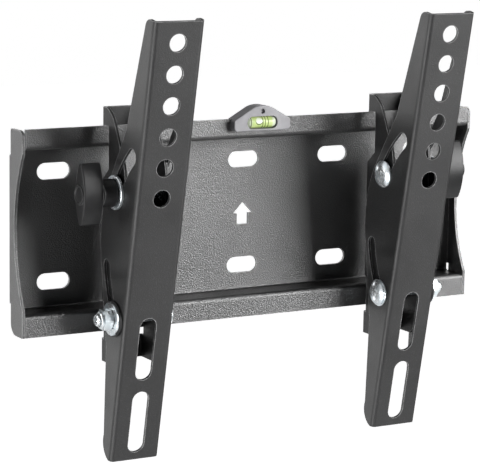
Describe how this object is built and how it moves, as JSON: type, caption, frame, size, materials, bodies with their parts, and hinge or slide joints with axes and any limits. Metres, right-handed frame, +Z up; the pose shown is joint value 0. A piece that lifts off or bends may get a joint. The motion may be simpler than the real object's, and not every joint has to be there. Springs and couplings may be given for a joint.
{
  "type": "tv wall mount",
  "caption": "Tilting wall mount for a small flat television: folded wall plate with a lipped rail, two hooked tilt arms with clamp knobs, and a bubble level.",
  "frame": {"origin": "centre of the wall slot pattern on the plate's back face, in the wall plane", "axes": "+X along the wall to the right as seen from the room, +Y into the wall, +Z up"},
  "size_m": [0.2706, 0.0743, 0.2301],
  "materials": {
    "black_powder_coat": "fine-textured satin black powder coat",
    "zinc": "bright zinc plating, slightly blue",
    "black_plastic": "moulded satin black",
    "black_nylon": "smooth black nylon",
    "brass": "turned",
    "grey_plastic": "moulded light grey",
    "vial_fluid": "clear acrylic with yellow-green fluid"
  },
  "bodies": {
    "wall": {"wall_plate": "black_powder_coat", "level_holder": "grey_plastic", "level_vial": "vial_fluid"},
    "left_bracket": {"left_hook_bracket": "black_powder_coat", "left_clamp_bolt": "zinc", "left_knob_washer": "zinc", "left_guide_bolt": "zinc", "left_head_washer": "zinc", "left_friction_washer": "black_nylon", "left_guide_washer": "zinc", "left_lock_nut": "zinc"},
    "left_arm": {"left_arm": "black_powder_coat"},
    "left_knob": {"left_knob": "black_plastic", "left_knob_insert": "brass"},
    "right_bracket": {"right_hook_bracket": "black_powder_coat", "right_clamp_bolt": "zinc", "right_knob_washer": "zinc", "right_guide_bolt": "zinc", "right_head_washer": "zinc", "right_friction_washer": "black_nylon", "right_guide_washer": "zinc", "right_lock_nut": "zinc"},
    "right_arm": {"right_arm": "black_powder_coat"},
    "right_knob": {"right_knob": "black_plastic", "right_knob_insert": "brass"}
  },
  "joints": [
    {"name": "left_slide", "type": "slide", "parent": "wall", "child": "left_bracket", "axis": [1, 0, 0], "range_m": [-0.0435, 0.048]},
    {"name": "left_tilt", "type": "hinge", "parent": "left_bracket", "child": "left_arm", "pos_m": [-0.07775, -0.0904, -0.009], "axis": [1, 0, 0], "range_deg": [-21.1, 0]},
    {"name": "left_knob_turn", "type": "hinge", "parent": "left_bracket", "child": "left_knob", "pos_m": [-0.07775, -0.03453, 0.02096], "axis": [-1, 0, 0], "continuous": true},
    {"name": "right_slide", "type": "slide", "parent": "wall", "child": "right_bracket", "axis": [1, 0, 0], "range_m": [-0.052, 0.0395]},
    {"name": "right_tilt", "type": "hinge", "parent": "right_bracket", "child": "right_arm", "pos_m": [0.08175, -0.0904, -0.009], "axis": [1, 0, 0], "range_deg": [-21.1, 0]},
    {"name": "right_knob_turn", "type": "hinge", "parent": "right_bracket", "child": "right_knob", "pos_m": [0.08175, -0.03453, 0.02096], "axis": [1, 0, 0], "continuous": true}
  ]
}
